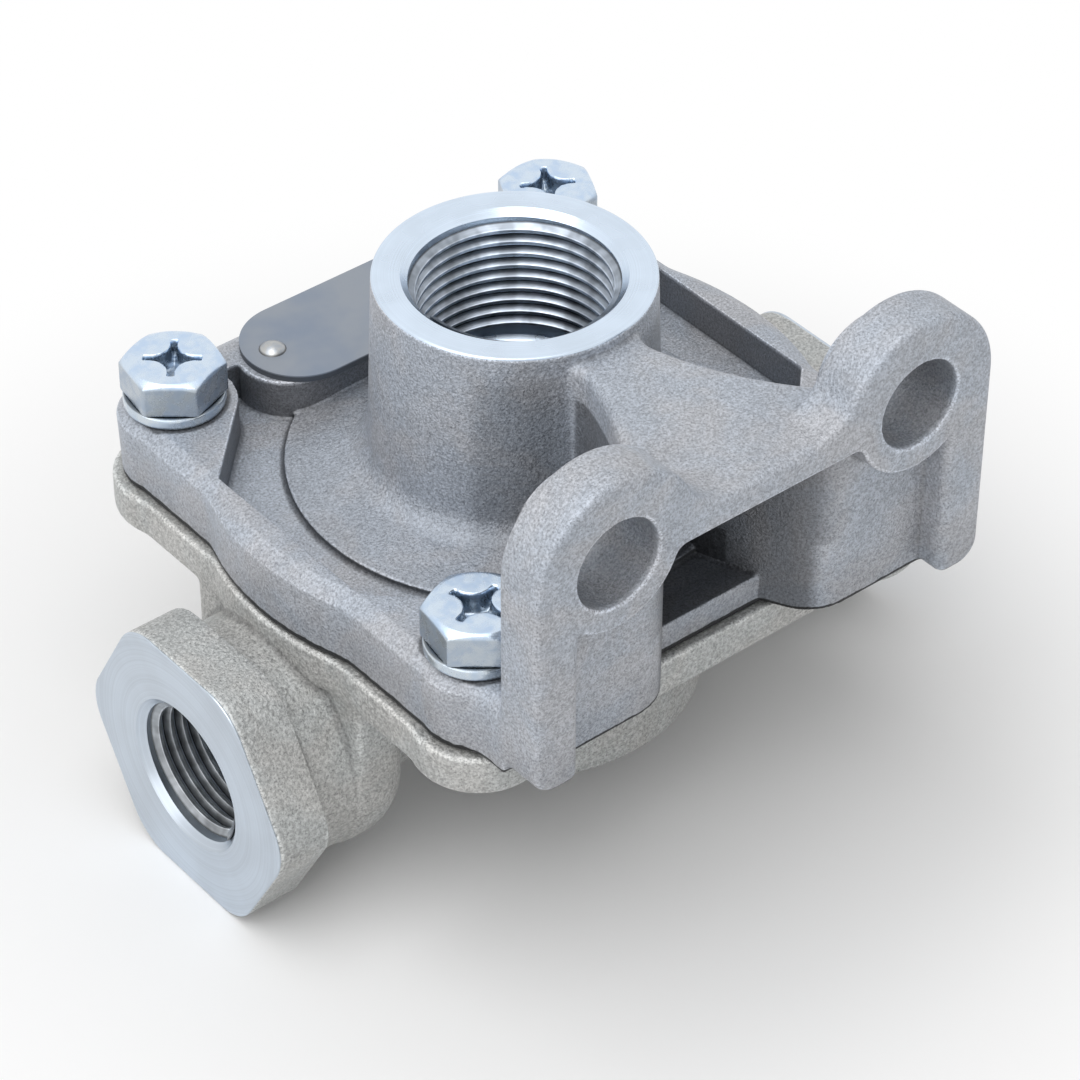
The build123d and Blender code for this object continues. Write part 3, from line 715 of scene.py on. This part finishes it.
def inlet_shell():
    """The boss's machined face, its mouth, the plain bore behind the thread and the drill's point."""
    point_end = inlet_thread_depth + (inlet_thread_r - inlet_passage_r) / tan(radians(drill_point_angle))
    shell_end = 22.6
    face = [(inlet_mouth_r, 0), (boss_top_r - 0.22, 0), (boss_top_r - 0.1, -0.05), (boss_top_r - 0.04, -0.16),
            (boss_top_r - 0.3, -0.6)]
    # The side that is sunk in the casting, out of sight
    sunk_side = [(12.9, -1.0), (11.6, -2.2), (11.5, -16.5), (8.6, -18.6), (8.5, -shell_end)]
    bore = [(inlet_passage_r, -shell_end), (inlet_passage_r, -point_end),
            (inlet_thread_r, -inlet_thread_depth), (inlet_thread_r, -0.75)]
    return turned_shell("inlet_shell", face + sunk_side + bore, Matrix.Identity(3), inlet_cut, steps=160)


def bolt_collars():
    """Each bolt hole runs on through a short collar behind its ear."""
    start, end = ear_back_y - collar_sink, ear_back_y + collar_length
    profile = [(bracket_hole_r, start), (bracket_hole_r, end), (collar_r - collar_chamfer, end),
               (collar_r, end - collar_chamfer), (collar_r, start)]
    along_y = Matrix(((1, 0, 0), (0, 0, 1), (0, -1, 0)))
    return [placed(turned_shell("bolt_collar", profile, along_y, cover_skin, steps=64),
                   moved_by(side * bracket_hole_x, 0, bracket_hole_z)) for side in (-1, 1)]


cover_solid = merged_copy("cover", cover_cut_back)
together([cover_solid, *bolt_collars()], cover_solid)
cover_mesh = skinned("cover_casting", cover_solid, voxel_mm=0.24, softening=1, wave_mm=0.03,
                     wave_size_mm=7.0, finish=cover_skin, triangles=175000)
inlet_thread = placed(thread_ridge("inlet_thread", inlet_thread_r, inlet_turns, thread_cut),
                      moved_by(0, 0, inlet_thread_start_z))
cover = joined("cover_casting", [cover_mesh, inlet_shell(), inlet_thread])
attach(cover, "valve")
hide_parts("cover")


# Lower body

port_bores = ((port_thread_r, bore_clearance), (port_mouth_r, mouth_clearance),
              (port_passage_r, bore_clearance))


def body_cut_back(x, y, z):
    """Makes room under each port's machined face and round its bores for the machined shell."""
    if abs(abs(x) - port_face_x) < on_face:
        x *= (port_face_x - set_back) / port_face_x
    if abs(x) > neck_start_x:
        y, z = widened(y, z - port_z, port_bores)
        z += port_z
    return x, y, z


def rounded_hexagon(angle):
    """Distance from the port's axis to the rounded hexagon in the direction angle."""
    lean = (angle + pi / 6) % (pi / 3) - pi / 6
    centre = (hex_half - hex_corner_r) / cos(pi / 6)
    side_end = (centre + hex_corner_r * cos(pi / 6), hex_corner_r * sin(pi / 6))
    if abs(lean) <= acos(side_end[0] / hypot(*side_end)):
        return centre * cos(lean) + sqrt(hex_corner_r**2 - (centre * sin(lean))**2)
    return hex_half / cos(pi / 6 - abs(lean))


def port_shell(facing):
    """A port's machined face, its mouth, the plain bore behind the thread and the drill's point."""
    point_end = port_thread_depth + (port_thread_r - port_passage_r) / tan(radians(drill_point_angle))
    shell_end = 29.9
    face = [(port_mouth_r, 0), (-0.2, 0), (-0.08, -0.05), (-0.04, -0.16), (-0.5, -0.7)]
    # The side that is sunk in the casting, out of sight
    sunk_side = [(9.8, -1.2), (8.5, -2.0), (8.5, -14.4), (6.4, -15.8), (6.3, -shell_end)]
    bore = [(port_passage_r, -shell_end), (port_passage_r, -point_end), (port_thread_r, -port_thread_depth),
            (port_thread_r, -0.8)]
    return turned_shell("port_shell", face + sunk_side + bore, facing, port_cut, steps=144,
                        outline=rounded_hexagon)


body_mesh = skinned("body_casting", merged_copy("body", body_cut_back), voxel_mm=0.3,
                    softening=2, wave_mm=0.05, wave_size_mm=5.0, finish=body_skin,
                    triangles=160000)
body_meshes = [body_mesh]
for side in (-1, 1):
    facing = Matrix(((0, 0, side), (1, 0, 0), (0, side, 0)))
    at_port = moved_by(side * port_face_x, 0, port_z)
    ridge = thread_ridge("port_thread", port_thread_r, port_turns, port_thread_cut)
    for move in (moved_by(0, 0, -port_thread_depth), facing.to_4x4(), at_port):
        ridge.transform(move)
    body_meshes += [placed(port_shell(facing), at_port), ridge]
body = joined("body_casting", body_meshes)
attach(body, "valve")
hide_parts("body")


# Screws and spring washers, their edges softened as cold heading and tumbling leave them

def as_cut(x, y, z):
    return x, y, z


for corner in ("left", "near", "back", "right"):
    for kind, finish, voxel_mm in (("cover_screw_", zinc, 0.15), ("lock_washer_", spring, 0.12)):
        node_name = kind + corner
        piece = new_object(node_name + "_finished", skinned(
            node_name + "_finished", merged_copy(node_name, as_cut), voxel_mm=voxel_mm,
            softening=2, wave_mm=0.0, wave_size_mm=1.0, finish=finish, triangles=24000))
        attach(piece, "valve")
        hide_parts(node_name)


# Finishes of the CAD nodes that stay as they are

finishes = {
    "name_plate": plate_metal, "name_plate_rivet_left": rivet_metal, "name_plate_rivet_right": rivet_metal,
    "diaphragm": rubber, "cover_seal": rubber, "exhaust_flap": rubber,
    "flap_washer": spring, "flap_screw": zinc,
}
for node_name, finish in finishes.items():
    nodes[node_name].data.materials.clear()
    nodes[node_name].data.materials.append(finish)


# Camera where the photograph was taken from: its heading, and its place in millimetres along its own axes

azimuth, elevation, roll = radians(-39.509), radians(39.5), radians(0.205)
camera_aside, camera_raised, camera_away = 2.742, 18.586, 459
aimed_z = -59.46

back = Vector((sin(azimuth) * cos(elevation), -cos(azimuth) * cos(elevation), sin(elevation)))
right = Vector((cos(azimuth), sin(azimuth), 0))
up = back.cross(right)
camera_right = cos(roll) * right + sin(roll) * up
camera_up = cos(roll) * up - sin(roll) * right
spot = camera_aside * camera_right + camera_raised * camera_up + camera_away * back + Vector((0, 0, aimed_z))

camera_data = bpy.data.cameras.new("camera")
camera_data.lens = 137.5
camera_data.sensor_width = 36
camera_data.clip_start = 0.05
camera = new_object("camera", camera_data)
camera.matrix_world = moved_by(*spot) @ Matrix((camera_right, camera_up, back)).transposed().to_4x4()
bpy.context.scene.camera = camera


# Floor, white background and soft light, in metres

def floor_material():
    """White floor that keeps the soft shadow near the valve and runs out into plain white."""
    made, tree, shader, where = material("white_floor")
    shader.inputs["Base Color"].default_value = (0.9, 0.9, 0.9, 1)
    shader.inputs["Roughness"].default_value = 0.9
    shader.inputs["Specular IOR Level"].default_value = 0.0
    far = ranged(tree, on_vectors(tree, "LENGTH", "Value", where), 0.05, 0.10)
    white = put(tree, "ShaderNodeEmission", {"Color": (1, 1, 1, 1), "Strength": 1.0})
    mix = put(tree, "ShaderNodeMixShader", {0: product_of(tree, seen_plainly(tree), far)})
    tree.links.new(shader.outputs[0], mix.inputs[1])
    tree.links.new(white.outputs[0], mix.inputs[2])
    tree.links.new(mix.outputs[0], tree.nodes["Material Output"].inputs[0])
    return made


def white_floor():
    half = 3
    corners = [(-half, -half, 0), (half, -half, 0), (half, half, 0), (-half, half, 0)]
    mesh = bpy.data.meshes.new("floor")
    mesh.from_pydata(corners, [], [(0, 1, 2, 3)])
    mesh.materials.append(floor_material())
    floor = new_object("floor", mesh)
    floor.location = (0, 0, standing_z * MM)
    return floor


def studio_world():
    """Plain white to look at, and as light a little stronger from the left and the back."""
    strongest, weakest = 0.80, 0.44
    dim_side = (0.7, -0.7, 0)
    world = bpy.data.worlds.new("studio")
    world.use_nodes = True
    tree = world.node_tree
    heading = put(tree, "ShaderNodeTexCoord").outputs["Generated"]
    toward = on_vectors(tree, "DOT_PRODUCT", "Value", heading, dim_side)
    soft = put(tree, "ShaderNodeMapRange", {"Value": toward, "From Min": -1.0, "From Max": 1.0,
               "To Min": strongest, "To Max": weakest})
    level = put(tree, "ShaderNodeMix", {0: seen_plainly(tree), 2: soft.outputs[0], 3: 1.0}, data_type="FLOAT")
    background = tree.nodes["Background"]
    background.inputs["Color"].default_value = (1, 1, 1, 1)
    tree.links.new(level.outputs[0], background.inputs["Strength"])
    return world


def softbox(name, place, size, power):
    """Lamp with a wide soft face, turned to the valve."""
    valve_middle = (0, 0, -0.03)
    lamp = bpy.data.lights.new(name, "AREA")
    lamp.shape = "RECTANGLE"
    lamp.size, lamp.size_y = size
    lamp.energy = power
    obj = new_object(name, lamp)
    obj.location = place
    obj.rotation_mode = "QUATERNION"
    obj.rotation_quaternion = (Vector(valve_middle) - Vector(place)).to_track_quat("-Z", "Y")


floor = white_floor()
bpy.context.scene.world = studio_world()
softbox("top_softbox", place=(-0.28, -0.08, 0.80), size=(0.8, 0.8), power=3.7)
softbox("left_softbox", place=(-0.60, -0.12, 0.22), size=(0.6, 0.4), power=0.62)

bpy.context.scene.view_settings.view_transform = "Standard"
